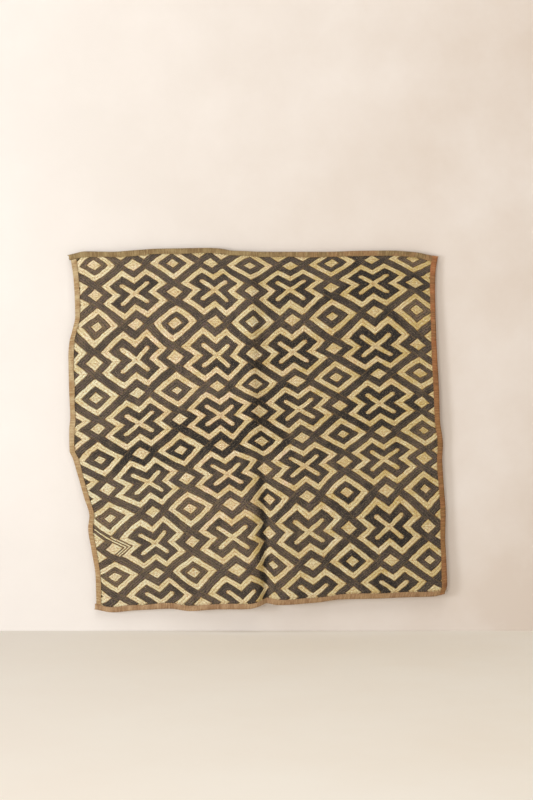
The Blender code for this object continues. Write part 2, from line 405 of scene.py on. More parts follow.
def rowPlace(count, start, end):
    # place in rows, whole in the groove between two stitch rows and half on a row's crest
    rows = max(1, round((end - start) / embroidery["rowWidth"]))
    return rows * (count - start) / (end - start)


def chart(u, v):
    # for each place on the net: whether it is natural, its place in rows, their direction, seams, mitres
    e = embroidery
    gap = e["motifGap"]
    du, dv, isCross, _, _ = nearMotif(u, v)
    x, y = np.abs(du), np.abs(dv)
    # a cross's arms reach a little into the diamonds' squares
    fromU = ~isCross & (crossRing(2 * gap - x, y) <= crossRing(x, 2 * gap - y))
    fromV = ~isCross & ~fromU
    cx, cy = np.where(fromU, 2 * gap - x, x), np.where(fromV, 2 * gap - y, y)
    ring = crossRing(cx, cy)
    large = np.maximum(x, y)
    small = np.maximum(gap - x, gap - y)
    inCross = ring <= e["crossEdge"]
    inLarge = ~isCross & (large <= e["diamondEdge"])
    inSmall = ~inCross & (small <= e["smallCore"])
    onTip = (np.minimum(cx, cy) < e["crossLine"] - 1) & (np.maximum(cx, cy) < e["crossLength"] + 1)
    natural = inCross & ((ring <= 0) | onTip | (ring > e["crossDark"]))
    natural |= inLarge & ((large <= e["diamondCore"]) | (large > e["diamondDark"]))
    natural |= inSmall
    # the bands between: the one that leans right passes over beside a diamond, under above it
    edge = e["diamondEdge"]
    far = edge + e["bandWidth"]
    leanRight = du * dv > 0
    inCorner = ~isCross & (x >= edge) & (y >= edge)
    bandU = np.where(inCorner, np.where(leanRight, x <= far, y > far), x >= y)
    bandU = np.where(isCross, x <= y, bandU)
    band = np.where(bandU, x, y)
    rows = rowPlace(band, edge, far)
    for inside, count, steps in (
        (inLarge, large, (0, e["diamondCore"], e["diamondDark"], edge)),
        (inCross, ring, (-e["crossLine"], 0, e["crossDark"], e["crossEdge"])),
        (inSmall, small, (0, e["smallCore"])),
    ):
        for first, last in zip(steps, steps[1:]):
            here = inside & (count >= first) & (count <= last)
            rows = np.where(here, rowPlace(count, first, last), rows)
    # rows run along v where the count changes with u
    line, length = e["crossLine"], e["crossLength"]
    firstArm = np.maximum(cy - line, cx - length) <= np.maximum(cx - line, cy - length)
    crossAlongV = np.where(firstArm, cx - length > cy - line, cx - line > cy - length)
    alongV = np.where(inCross, crossAlongV, np.where(inLarge, x > y, bandU))
    alongV = np.where(inSmall, x < y, alongV)
    seam = inCorner & np.where(leanRight, (x == edge) | (x == far), (y == edge) | (y == far))
    seam &= ~inCross & ~inSmall
    # rows meet at a slant where they turn a corner
    mitre = inCross & ((cx - length == cy - line) | (cx - line == cy - length) | (cx == cy))
    mitre |= (inLarge | inSmall) & (x == y)
    return natural, rows, alongV.astype(bool), seam.astype(float), mitre.astype(float)


# Uneven dye, in motif columns and rows from the top left: (column, row, reach, black, brown)
dyePatches = [
    (1, 5, 0.6, 1, 0), (2, 4.3, 0.55, 0.8, 0), (3, 5, 0.65, 1, 0), (4, 4.2, 0.7, 1.1, 0),
    (4, 2.4, 0.6, 0.6, 0), (2.2, 5, 0.5, 0.55, 0), (4.2, 5.1, 0.55, 0.6, 0),
    (4.8, 3.4, 1.8, 0.2, 0), (5, 0, 0.9, 0.3, 0), (5, 2, 0.7, 0.4, 0), (7, 0, 0.9, 0.7, 0),
    (7, 2, 0.9, 0.7, 0), (7, 4.2, 1, 0.7, 0), (7, 6.2, 0.8, -0.35, 0.4), (7, 8, 0.9, 0.35, 0),
    (5, 4, 0.7, -0.2, 0.35), (4, 7, 0.5, 0.3, 0), (6, 5, 0.5, 0.4, 0), (6, 7, 0.5, 0.6, 0),
    (6, 9, 0.5, 0.7, 0), (3, 8, 0.8, -0.35, 0.5), (5, 8, 0.8, -0.1, 0.3), (0, -1, 0.5, -0.4, 0.9),
    (8, -1, 0.6, -0.4, 0.7), (0, 1, 0.5, -0.3, 0.9), (8, 1, 0.5, -0.7, 1.2),
    (8, 3, 0.5, -0.4, 0.8), (0, 5, 0.6, 0.3, 0), (8, 5, 0.5, -0.5, 0.9), (0, 7, 0.5, -0.3, 0.9),
    (2, 7, 0.5, -0.2, 0.7), (8, 7, 0.5, -0.1, 0.5), (0, 9, 0.5, -0.3, 0.8),
    (2, 9, 0.5, -0.2, 0.8), (4, 9, 0.5, -0.1, 0.7), (0.5, 8.5, 1.5, -0.1, 0.1),
]
# Uneven natural fibre: (column, row, reach, pink, green)
fibrePatches = [
    (0, 2.5, 1.2, -0.3, 0.9), (0, 6.5, 1.3, -0.3, 0.9), (1, 8.5, 1.6, -0.1, 0.5),
    (4, 1.2, 0.9, -0.1, 0.7), (8, 5, 0.9, -0.2, 0.6), (6, 8.5, 1.2, -0.2, 0.6),
    (1.5, 1.5, 1.4, 0.5, -0.1), (3, 3.6, 1.1, 0.7, -0.2), (5, 2.2, 1.2, 0.5, 0),
    (3, 6.6, 1.2, 0.6, -0.1), (7.2, 2.6, 0.9, 0.4, 0), (5.2, 6, 1, 0.4, 0),
]


def patchTone(i, j, patches, which):
    tone = np.zeros_like(i, dtype=float)
    for patch in patches:
        away = ((i - patch[0]) ** 2 + (j - patch[1]) ** 2) / patch[2] ** 2
        tone += patch[which] * np.exp(-away * 1.2)
    return tone


# natural rows are sewn a little fuller than the net: (steps from a motif's heart, step it moves to)
crossFuller = ((0, 0), (2, 2.45), (9, 8.6), (14, 14.35), (24, 23.65), (26, 26))
diamondFuller = ((0, 0), (4, 4.15), (10, 9.6), (15, 15.35), (21, 20.7), (23, 22.65), (26, 26))


def sewUnevenly(u, v):
    # places on the net drift a little, and each motif's heart is sewn larger or smaller
    e = embroidery
    draw = np.random.default_rng(e["seed"])
    gap = e["motifGap"]
    du, dv, isCross, a, b = nearMotif(u, v)
    sizes = draw.uniform(-1, 1, (40, 40))
    tight = sizes[a.astype(int) % 40, b.astype(int) % 40]
    large = np.maximum(np.abs(du), np.abs(dv))
    core = e["diamondCore"]
    fading = (e["diamondDark"] - large) / (e["diamondDark"] - core)
    swell = np.where(large <= core, 1.0, np.clip(fading, 0, 1))
    grow = np.where(isCross, 0.0, (e["coreLarger"][0] + e["coreLarger"][1] * tight) * swell)
    # some diamonds are sewn rounder
    corner = np.minimum(np.abs(du), np.abs(dv)) / np.maximum(large, 1)
    rounder = np.where(isCross, 0.0, e["rounder"] * np.clip(tight, 0, 1) * corner ** 3 * (large > core))
    fadeLarge, fadeSmall = e["fade"]
    rounder = rounder * np.clip((e["diamondEdge"] + fadeLarge - large) / fadeLarge, 0, 1)
    newU = u + du * (grow - rounder)
    newV = v + dv * (grow - rounder)
    for axis, offset in ((newU, du), (newV, dv)):
        steps = np.abs(offset)
        cross, diamond = (np.interp(steps, *zip(*moves)) for moves in (crossFuller, diamondFuller))
        axis += np.sign(offset) * (np.where(isCross, cross, diamond) - steps)
    # small diamonds sit on the odd places
    sa, sb = np.floor(u / (2 * gap)), np.floor(v / (2 * gap))
    su, sv = u - (2 * sa + 1) * gap, v - (2 * sb + 1) * gap
    small = np.maximum(np.abs(su), np.abs(sv))
    tightSmall = sizes[(sa.astype(int) + 20) % 40, (sb.astype(int) + 11) % 40]
    core = e["smallCore"]
    swell = np.where(small <= core, 1.0, np.clip((core + fadeSmall - small) / fadeSmall, 0, 1))
    growSmall = (e["smallLarger"][0] + e["smallLarger"][1] * tightSmall) * swell
    newU += su * growSmall + e["wander"] * wave(u, v, 11, 34) + e["stray"] * wave(u, v, 12, 9)
    newV += sv * growSmall + e["wander"] * wave(u, v, 13, 34) + e["stray"] * wave(u, v, 14, 9)
    return newU, newV


def extraNatural(u, v):
    # one cross has a second natural row in its lower notch, and one at the left edge is filled in
    side = 2 * embroidery["motifGap"]
    du, dv = u - 3 * side, v - 3 * side
    notch = (du > 12) & (du < 28) & (dv < -12) & (dv > -16)
    x, y = np.abs(u - 4 * side), np.abs(v + 4 * side)
    return notch | (crossRing(x, y) <= embroidery["crossEdge"])


def stripedFrame(u, v):
    # one small diamond, low on the left, is half framed in single rows, natural and dark by turns
    gap = embroidery["motifGap"]
    su, sv = u - 9 * gap, v + 7 * gap
    core, edge = embroidery["smallCore"], embroidery["smallCore"] + 7
    corner = np.maximum(su, sv)
    framed = (corner > core) & (corner < edge) & (su > -11) & (sv > -4)
    trail = (su > -gap) & (su <= -11) & (sv > core) & (sv < core + 4)
    count = np.where(trail, sv, corner)
    return (framed | trail) & (np.floor(count - core) % 3 > 0)


# How the tints vary: start at the left, rise to the right, unevenness, its seed and its length in net steps
unevenTints = {
    "black": (0.185, 0.25, 0.26, 31, 40),
    "brown": (0.3, -0.2, 0.26, 32, 25),
    "pink": (0.15, 0.0, 0.4, 33, 26),
    "green": (0.12, 0.0, 0.3, 34, 32),
    "agedAndShaded": (0.05, 0.88, 0.32, 35, 22),
}


def tintsOf(u, v, across, down, x):
    # how far each tint shows at each point
    tints = {name: start + rise * across + uneven * wave(u, v, seed, length)
             for name, (start, rise, uneven, seed, length) in unevenTints.items()}
    i, j = (u + v) / embroidery["motifGap"] / 2 - 1, (u - v) / embroidery["motifGap"] / 2
    for k, (name, patches) in enumerate((("black", dyePatches), ("brown", dyePatches),
                                         ("pink", fibrePatches), ("green", fibrePatches))):
        tints[name] += patchTone(i, j, patches, 3 + k % 2)
    # crosses took the dye best; deep in the fold the black is painted shade, where the narrow valley lies
    # in shadow
    du, dv, isCross, _, _ = nearMotif(u, v)
    inCross = isCross & (crossRing(np.abs(du), np.abs(dv)) <= embroidery["crossDark"])
    fromFold = x - readAt(foldLine, 1, down) - 1.5
    folded = readAt(foldStrength, 2, down)
    tints["black"] += 0.2 * wave(u, v, 36, 13) + (0.14 + 0.16 * across) * inCross
    # painted shade: extra black along the bottom of the fold valley
    tints["black"] += 1.3 * folded * np.exp(-(fromFold / 6.0) ** 2)
    # the fibre is painted golden-dark where the cloth turns down into the fold, a painted shade on the side
    # turned from the light, and lighter low on the right, a painted light
    tints["agedAndShaded"] += 0.6 * folded * np.exp(-((fromFold + 7.0) / 9.0) ** 2) - 0.24 * across * down
    return tints


def onlyUsed(quads):
    # the points that the squares use, and the squares numbered anew
    used, faces = np.unique(quads, return_inverse=True)
    return used, faces.reshape(-1, 4)


def sewnNet():
    # squares of the slanting net whose four corners lie inside the trimmed cloth
    e = embroidery
    gap = e["motifGap"]
    gridU, gridV = np.meshgrid(np.arange(-3 * gap, 21 * gap), np.arange(-11 * gap, 12 * gap), indexing="ij")
    u, v = gridU.ravel().astype(float), gridV.ravel().astype(float)
    across, down = netShares(u, v)
    near = (across > -0.01) & (across < 1.01) & (down > -0.01) & (down < 1.01)
    index = np.arange(u.size).reshape(gridU.shape)
    quads = np.stack([index[:-1, :-1], index[1:, :-1], index[1:, 1:], index[:-1, 1:]], axis=-1)
    quads = quads.reshape(-1, 4)
    used, quads = onlyUsed(quads[near[quads].all(axis=1)])
    u, v = u[used], v[used]
    across, down = netShares(*sewUnevenly(u, v))
    trimAcross, trimDown = e["trim"] / cloth["acrossSize"], e["trim"] / cloth["downSize"]
    inside = (across > trimAcross) & (across < 1 - trimAcross)
    inside &= (down > trimDown) & (down < 1 - trimDown)
    used, quads = onlyUsed(quads[inside[quads].all(axis=1)])
    return u[used], v[used], across[used], down[used], quads


def makeEmbroidery(darkMaterial, naturalMaterial):
    e = embroidery
    u, v, across, down, quads = sewnNet()
    _, rows, _, seam, mitre = chart(u, v)
    height = e["groove"] + (e["crest"] - e["groove"]) * (0.5 - 0.5 * np.cos(2 * math.pi * rows))
    height += 0.07 * wave(u, v, 21, 5) + 0.05 * wave(u, v, 22, 60)
    points = clothPoint(across, down) + clothNormal(across, down) * height[:, None]
    centreU, centreV = u[quads].mean(axis=1), v[quads].mean(axis=1)
    natural, _, alongV, _, _ = chart(centreU, centreV)
    natural = natural | extraNatural(centreU, centreV) | stripedFrame(centreU, centreV)
    # each face's own place in rows, read just inside its corners
    cornerU = centreU[:, None] + (u[quads] - centreU[:, None]) * 0.998
    cornerV = centreV[:, None] + (v[quads] - centreV[:, None]) * 0.998
    rowMap = chart(cornerU.ravel(), cornerV.ravel())[1].reshape(-1, 4)
    # where dyed and undyed stitches meet
    border = np.zeros(len(u))
    border[np.intersect1d(quads[natural], quads[~natural])] = 1
    marks = tintsOf(u, v, across, down, points[:, 0])
    marks.update(seam=seam, mitre=mitre, border=border)
    middle = down[quads].mean(axis=1)
    pieces = []
    for dye, wanted, material, shown in (
        ("dark", ~natural, darkMaterial, ("black", "brown", "seam", "border")),
        ("natural", natural, naturalMaterial, ("pink", "green", "agedAndShaded", "mitre", "border")),
    ):
        for part, half in (("upper", middle < 0.5), ("lower", middle >= 0.5)):
            chosen = wanted & half
            mine, faces = onlyUsed(quads[chosen])
            piece = meshPiece(f"embroidery_{dye}_{part}", points[mine] * mm, faces, material)
            for name in shown:
                layer = piece.data.attributes.new(name, "FLOAT", "POINT")
                layer.data.foreach_set("value", marks[name][mine].astype(np.float32))
            # the thread map is along and across each row in millimetres, the rows map counts rows
            uHere, vHere, turned = u[quads[chosen]], v[quads[chosen]], alongV[chosen][:, None]
            along = np.where(turned, vHere, uHere) * e["netStep"]
            aside = np.where(turned, uHere, vHere) * e["netStep"]
            for name, first, second in (("thread", along, aside), ("rows", rowMap[chosen], along)):
                setMap(piece, name, np.stack([first, second], axis=-1))
            thicken(piece, e["thickness"], -1)
            pieces.append(piece)
    return pieces


def stain(tree, colour, tint, share, strength=1.0):
    # another colour over the first, as far as share times strength says
    shown = addNode(tree, "Math", {0: share, 1: strength}, operation="MULTIPLY", use_clamp=True)
    mix = addNode(tree, "Mix", {0: shown, 6: colour, 7: linearColour(tint)}, data_type="RGBA")
    return mix.outputs[2]


def dabs(tree, along, across, offset, low, high, least=0.0, most=1.0):
    # small uneven dabs, so many a millimetre along and across the rows; offset makes two sets differ
    thread = addNode(tree, "UVMap", uv_map="thread")
    stretch = addNode(tree, "Mapping", {
        "Vector": thread, "Scale": (along, across, 1.0), "Location": (offset, offset, 0.0)})
    noise = addNode(tree, "TexNoise", {
        "Vector": stretch, "Scale": 1.0, "Detail": 1.0, "Roughness": 0.5})
    spread = addNode(tree, "MapRange", {
        "Value": noise.outputs["Fac"], "From Min": low, "From Max": high, "To Min": least, "To Max": most})
    return spread


def marked(tree, name, low=0.0):
    # what the mesh marks for each point, from 0 at low up to 1
    mark = addNode(tree, "Attribute", attribute_name=name)
    spread = addNode(tree, "MapRange", {"Value": mark.outputs["Fac"], "From Min": low}, clamp=False)
    return spread


def stitchRows(tree):
    # 1 in the groove between two rows, and the slanting stitches along each row from -1 to 1
    counted = addNode(tree, "UVMap", uv_map="rows")
    parts = addNode(tree, "SeparateXYZ", {"Vector": counted})
    swings = []
    for slant, kind in ((0.0, "COSINE"), (0.42, "SINE")):  # turns a millimetre along the row
        turns = addNode(tree, "Math", {
            0: parts.outputs["Y"], 1: slant, 2: parts.outputs["X"]}, operation="MULTIPLY_ADD")
        angle = addNode(tree, "Math", {0: turns, 1: 2 * math.pi}, operation="MULTIPLY")
        swing = addNode(tree, "Math", {0: angle}, operation=kind)
        swings.append(swing)
    groove = addNode(tree, "MapRange", {"Value": swings[0], "From Min": -0.1})
    return groove, swings[1]


def raffiaFinish(tree, shader, colour, height, bump, depth, roughness, gloss):
    # split palm fibre: slightly waxy, so a broad soft gloss; height is its fine relief, depth mm deep
    relief = addNode(tree, "Bump", {"Strength": bump, "Distance": depth * mm, "Height": height})
    tree.links.new(colour, shader.inputs["Base Color"])
    tree.links.new(relief.outputs["Normal"], shader.inputs["Normal"])
    shader.inputs["Roughness"].default_value = roughness
    shader.inputs["Specular IOR Level"].default_value = gloss


def raffiaThread(name, tones, layersFor, roughness):
    # rows of fine slanting stitches; each layer is (tone, share, strength)
    material, tree, shader = newMaterial(name)
    groove, stitch = stitchRows(tree)
    colour = linearColour(tones["plain"])
    for tone, share, strength in layersFor(tree, groove):
        colour = stain(tree, colour, tones[tone], share, strength)
    # where the two colours meet they have rubbed off on each other, unevenly
    rubbed = dabs(tree, 0.6, 0.4, 151.0, 0.36, 0.6, most=0.75)
    colour = stain(tree, colour, tones["border"], marked(tree, "border", 0.3), rubbed)
    fibre = dabs(tree, 0.9, 2.6, 9.0, 0.0, 1.0)
    height = addNode(tree, "Math", {0: stitch, 1: 0.3, 2: fibre}, operation="MULTIPLY_ADD")
    height = addNode(tree, "Math", {0: groove, 1: -1.2, 2: height}, operation="MULTIPLY_ADD")
    raffiaFinish(tree, shader, colour, height, 0.8, 0.4, roughness, 0.3)
    shader.inputs["IOR"].default_value = 1.45
    return material


darkDye = {
    "plain": "#564d43",
    "purple": "#685158",
    "olive": "#645c44",
    # painted shade in the grooves between stitch rows
    "groove": "#25201d",
    "black": "#201d1b",
    "brown": "#7a664c",
    "pale": "#8b7d66",
    "seam": "#8a7048",
    "border": "#6e5334",
}


def dyedLayers(tree, groove):
    # mud-dyed raffia: charcoal that goes purple, olive or true black from bunch to bunch; painted shade
    # deepens the black in the fold and fills the grooves between rows
    return (
        ("brown", marked(tree, "brown"), 1.0),
        ("purple", dabs(tree, 0.34, 0.5, 3.0, 0.5, 0.66), 1.0),
        ("olive", dabs(tree, 0.3, 0.45, 41.0, 0.5, 0.66), 1.0),
        ("black", marked(tree, "black"), 1.0),
        ("pale", dabs(tree, 0.4, 0.6, 77.0, 0.5, 0.7), 0.5),
        ("black", dabs(tree, 0.38, 0.65, 113.0, 0.48, 0.32), 0.9),
        ("seam", marked(tree, "seam", 0.3), 0.45),
        # painted shade: darker in the groove between two rows
        ("groove", groove, dabs(tree, 0.7, 0.35, 29.0, 0.42, 0.62, 0.15, 0.6)),
    )


naturalFibre = {
    "plain": "#e2dab4",
    "pale": "#ebe8cb",
    "pink": "#e4c9ae",
    "green": "#dfdebf",
    # yellowed straw tone, also used for painted shade where the cloth turns into the fold
    "agedAndShaded": "#bfab6c",
    # painted shade in the grooves between stitch rows
    "groove": "#9c6f3a",
    "fleck": "#a66e3f",
    "border": "#a9793a",
    "deep": "#c9b27e",
}


def naturalLayers(tree, groove):
    # undyed raffia: straw, with pinkish and greenish bunches and small brown flecks; the yellowed tone also
    # holds painted shade in the fold and painted light low on the right, and the groove tone is painted
    # shade between the rows
    return (
        ("pink", marked(tree, "pink"), dabs(tree, 0.3, 0.5, 5.0, 0.34, 0.66, most=2.0)),
        ("green", marked(tree, "green"), dabs(tree, 0.3, 0.5, 53.0, 0.34, 0.66, most=2.0)),
        ("agedAndShaded", marked(tree, "agedAndShaded"), 1.0),
        ("pale", dabs(tree, 0.3, 0.5, 19.0, 0.5, 0.68), 0.5),
        ("deep", dabs(tree, 0.34, 0.6, 91.0, 0.49, 0.33), 1.0),
        ("fleck", dabs(tree, 0.42, 0.65, 131.0, 0.4, 0.3), 0.85),
        # painted shade: darker in the groove between two rows
        ("groove", groove, dabs(tree, 0.7, 0.35, 67.0, 0.42, 0.62, 0.12, 0.6)),
        ("groove", marked(tree, "mitre", 0.35), 0.55),
    )


# Ground cloth, woven of single raffia strips. Only its back shows.
ground = {
    "thickness": 0.8,
    "spacing": 3.6,  # mm between the sheet's points, and closer across the fold and the crease
    "foldSpacing": 1.6,
    "foldSpan": (268.0, 346.0),
    "creaseSpacing": 2.88,
    "creaseSpan": (270.0, 340.0),
    "thread": 1.1,  # mm from thread to thread
    "colour": "#dcc698",
    "shade": "#b0966a",
}


def spacedPlaces(size, span, fine, coarse):
    # shares along one side, closer between the two places of the span
    parts = []
    for start, end, step in ((0.0, span[0], coarse), (span[0], span[1], fine), (span[1], size, coarse)):
        parts.append(np.linspace(start, end, max(2, round((end - start) / step) + 1))[:-1])
    return np.append(np.concatenate(parts), size) / size


def wovenRaffia(name, colours, threadSize):
    # plain weave of flat raffia strips, dry and a little uneven, with painted shade between the strips
    material, tree, shader = newMaterial(name)
    thread = addNode(tree, "UVMap", uv_map="thread")
    waves = []
    for direction in ("X", "Y"):
        wave = addNode(tree, "TexWave", {
            "Vector": thread, "Scale": 0.314 / threadSize, "Distortion": 0.8,
            "Detail": 2.0, "Detail Scale": 0.6}, wave_type="BANDS", bands_direction=direction)
        waves.append(wave.outputs["Fac"])
    weave = addNode(tree, "Math", {0: waves[0], 1: waves[1]}, operation="MULTIPLY")
    stretch = addNode(tree, "Mapping", {"Vector": thread, "Scale": (0.9, 0.05, 1.0)})
    streaks = addNode(tree, "TexNoise", {"Vector": stretch, "Scale": 1.0, "Detail": 4.0})
    share = addNode(tree, "MapRange", {
        "Value": streaks.outputs["Fac"], "From Min": 0.35, "From Max": 0.65})
    colour = stain(tree, linearColour(colours[1]), colours[0], share)
    # painted shade: darker between the woven strips, where one passes under the other
    between = addNode(tree, "Math", {0: weave, 1: -0.45, 2: 0.4}, operation="MULTIPLY_ADD")
    darker = addNode(tree, "Mix", {
        0: between, 6: colour, 7: linearColour(colours[1])}, data_type="RGBA", blend_type="MULTIPLY")
    raffiaFinish(tree, shader, darker.outputs[2], weave, 0.6, 0.4, 0.75, 0.25)
    return material


def makeGround(material):
    g = ground
    columnsHere = spacedPlaces(cloth["acrossSize"], g["foldSpan"], g["foldSpacing"], g["spacing"])
    rowsHere = spacedPlaces(cloth["downSize"], g["creaseSpan"], g["creaseSpacing"], g["spacing"])
    down, across = (part.ravel() for part in np.meshgrid(rowsHere, columnsHere, indexing="ij"))
    quads = gridQuads(len(rowsHere), len(columnsHere))
    piece = meshPiece("ground_cloth", clothPoint(across, down) * mm, quads, material)
    flat = np.stack([across * cloth["acrossSize"], down * cloth["downSize"]], axis=1)
    setMap(piece, "thread", flat[quads])
    thicken(piece, g["thickness"], 0)
    return piece


# Binding: a narrow strip of plain raffia cloth folded over each edge and whipped down
binding = {
    "step": 0.85,  # mm between points along a strip
    "thickness": 0.6,
    "leg": 7.5,  # mm from the edge inwards, front and back
    "legUneven": 0.7,
    "lift": 1.88,  # the strip's middle layer over the cloth's middle layer, mm
    "outer": 0.75,  # and outside the panel's edge
    "rib": 2.5,  # mm from rib to rib
    "ribHeight": 0.22,
    "tip": 2.0,  # how far the two cross strips run past the left corners
    "cornerGap": 8.0,
}


def bindingSection():
    # (inward from the edge, forward, how much the ribs show), front leg to back leg
    lift, outer = binding["lift"], binding["outer"]
    front = [(1.0, lift - 0.12, 0.3), (0.93, lift, 1.0), (0.62, lift + 0.06, 1.0), (0.3, lift + 0.05, 1.0)]
    section = [(inward * binding["leg"], forward, rib) for inward, forward, rib in front]
    section += [(0.5, lift, 1.0), (-0.35, lift * 0.82, 1.0), (-outer, lift * 0.38, 0.9)]
    return section + [(inward, -forward, rib) for inward, forward, rib in reversed(section)]


def makeBinding(name, start, end, size, spot, material, seed):
    b = binding
    section = bindingSection()
    count = round((end - start) * size / b["step"])
    places = np.linspace(start, end, count)
    length = (places - start) * size
    ones = np.ones_like(length)
    # ribs of uneven width, where the strip was pulled tight over the edge
    turns = length / b["rib"] + 0.45 * wave(length, ones, seed, 17) + 0.3 * wave(length, ones, seed + 1, 47)
    ribs = np.cos(2 * math.pi * turns) * (0.75 + 0.35 * wave(length, ones, seed + 2, 23))
    legs = 1 + b["legUneven"] / b["leg"] * wave(length, ones, seed + 3, 70)
    rowsHere = []
    for inward, forward, ribShare in section:
        inwardHere = inward * legs if inward > 0.6 else inward * ones
        at = spot(places, inwardHere)
        edge = spot(places, np.maximum(inwardHere, 0))
        normal = clothNormal(*edge)
        lift = forward + np.sign(forward) * b["ribHeight"] * ribs * ribShare
        point = clothPoint(*at) + normal * lift[:, None]
        if inward <= -b["outer"] + 0.01:  # ribs stand out sideways at the turn
            side = clothPoint(*at) - clothPoint(*edge)
            side /= np.linalg.norm(side, axis=1)[:, None]
            point = point + side * (b["ribHeight"] * ribs * 0.7)[:, None]
        rowsHere.append(point)
    points = np.stack(rowsHere, axis=0).reshape(-1, 3)
    quads = gridQuads(len(section), count)
    piece = meshPiece(name, points * mm, quads, material)
    steps = [math.dist(here[:2], after[:2]) for here, after in zip(section, section[1:])]
    across = np.cumsum([0] + steps)
    flat = np.stack([np.tile(length, len(section)), np.repeat(across, count)], axis=1)
    setMap(piece, "thread", flat[quads])
    faceOutwards(piece.data)
    thicken(piece, b["thickness"], 0)
    return piece


def bindingSpots():
    a, d = cloth["acrossSize"], cloth["downSize"]
    return {
        "top": lambda place, inward: (place, inward / d),
        "bottom": lambda place, inward: (place, 1 - inward / d),
        "left": lambda place, inward: (inward / a, place),
        "right": lambda place, inward: (1 - inward / a, place),
    }


# two tones along each strip, its palest and darkest ribs, and a last tone that takes over between two
# places in millimetres along it
bindingColours = {
    "top": ("#948059", "#826b47", "#b39e75", "#6c5636", "#94724e", (300, 430)),
    "bottom": ("#ae8f6d", "#977656", "#c0a37e", "#755839", "#a1825d", (200, 420)),
    "left": ("#b8a47f", "#a3875f", "#cdbb94", "#8b6641", "#a98a62", (250, 380)),
    "right": ("#a26942", "#8f643f", "#b5895f", "#624026", "#8e693f", (120, 300)),
}


def makeBindings():
    b = binding
    a, d = cloth["acrossSize"], cloth["downSize"]
    past = (cloth["bindingReach"] + b["tip"]) / a
    gapAcross, gapDown = b["cornerGap"] / a, b["cornerGap"] / d
    reach = cloth["bindingReach"] / d
    runs = {
        "top": (-past, 1 - gapAcross, a),
        "bottom": (-past, 1 - gapAcross, a),
        "left": (gapDown, 1 - gapDown, d),
        "right": (-reach, 1 + reach, d),
    }
    spots = bindingSpots()
    pieces = {}
    for k, (side, (start, end, size)) in enumerate(runs.items()):
        material = bindingRaffia(f"bindingRaffia{side.capitalize()}", bindingColours[side])
        name, seed = f"binding_{side}_strip", 50 + 10 * k
        pieces[side] = makeBinding(name, start, end, size, spots[side], material, seed)
    return pieces


def bindingRaffia(name, colours):
    # plain raffia strip, handled and sun-tanned: colour shifts from rib to rib and along the strip
    material, tree, shader = newMaterial(name)
    thread = addNode(tree, "UVMap", uv_map="thread")
    parts = addNode(tree, "SeparateXYZ", {"Vector": thread})
    far = addNode(tree, "MapRange", {
        "Value": parts.outputs["X"], "From Min": colours[5][0], "From Max": colours[5][1]})
    colour = linearColour(colours[0])
    for tone, share, strength in (
        (4, far, 1.0),
        (1, dabs(tree, 0.06, 0.05, 7.0, 0.44, 0.58), 1.0),
        (2, dabs(tree, 0.6, 0.06, 23.0, 0.5, 0.72), 0.6),
        (3, dabs(tree, 0.6, 0.06, 23.0, 0.5, 0.3), 0.6),
        (3, dabs(tree, 1.7, 0.4, 61.0, 0.5, 0.3), 0.45),
    ):
        colour = stain(tree, colour, colours[tone], share, strength)
    fibre = dabs(tree, 1.7, 0.4, 61.0, 0.0, 1.0)
    raffiaFinish(tree, shader, colour, fibre, 0.7, 0.6, 0.7, 0.25)
    return material


# Whip stitches that hold the binding down, front and back
whipping = {
    "spacing": 4.6,
    "length": 3.0,
    "thickness": 0.62,
    "slant": 0.5,
    "sunk": 0.1,  # how deep a stitch sits in the strip, mm
    "colours": ("#94794f", "#7c6340", "#b29a70", "#63492c", "#8f754c", (0, 1)),
}


def stitchTree(name):
    # a bean-shaped stitch on each point, turned by the point's own turn, a little uneven in size
    tree = bpy.data.node_groups.new(name, "GeometryNodeTree")
    tree.interface.new_socket("Geometry", in_out="INPUT", socket_type="NodeSocketGeometry")
    for label in ("Stitch Length", "Stitch Thickness"):
        tree.interface.new_socket(label, in_out="INPUT", socket_type="NodeSocketFloat")
    tree.interface.new_socket("Seed", in_out="INPUT", socket_type="NodeSocketInt")
    tree.interface.new_socket("Material", in_out="INPUT", socket_type="NodeSocketMaterial")
    tree.interface.new_socket("Geometry", in_out="OUTPUT", socket_type="NodeSocketGeometry")
    given = addNode(tree, "NodeGroupInput")
    bean = addNode(tree, "GeometryNodeMeshUVSphere", {"Segments": 6, "Rings": 5, "Radius": 0.5})
    size = addNode(tree, "CombineXYZ", {
        "X": given.outputs["Stitch Length"], "Y": given.outputs["Stitch Thickness"],
        "Z": given.outputs["Stitch Thickness"]})
    lying = addNode(tree, "GeometryNodeTransform", {
        "Geometry": bean, "Rotation": (0.0, math.pi / 2, 0.0)})
    uneven = addNode(tree, "FunctionNodeRandomValue", {
        2: 0.8, 3: 1.2, "Seed": given.outputs["Seed"]}, data_type="FLOAT")
    scale = addNode(tree, "VectorMath", {0: size, "Scale": uneven.outputs[1]}, operation="SCALE")
    turn = addNode(tree, "GeometryNodeInputNamedAttribute", {"Name": "turn"}, data_type="FLOAT_VECTOR")
    placed = addNode(tree, "GeometryNodeInstanceOnPoints", {
        "Points": given.outputs["Geometry"], "Instance": lying,
        "Rotation": turn, "Scale": scale})
    real = addNode(tree, "GeometryNodeRealizeInstances", {"Geometry": placed})
    painted = addNode(tree, "GeometryNodeSetMaterial", {
        "Geometry": real, "Material": given.outputs["Material"]})
    addNode(tree, "NodeGroupOutput", {"Geometry": painted})
    return tree


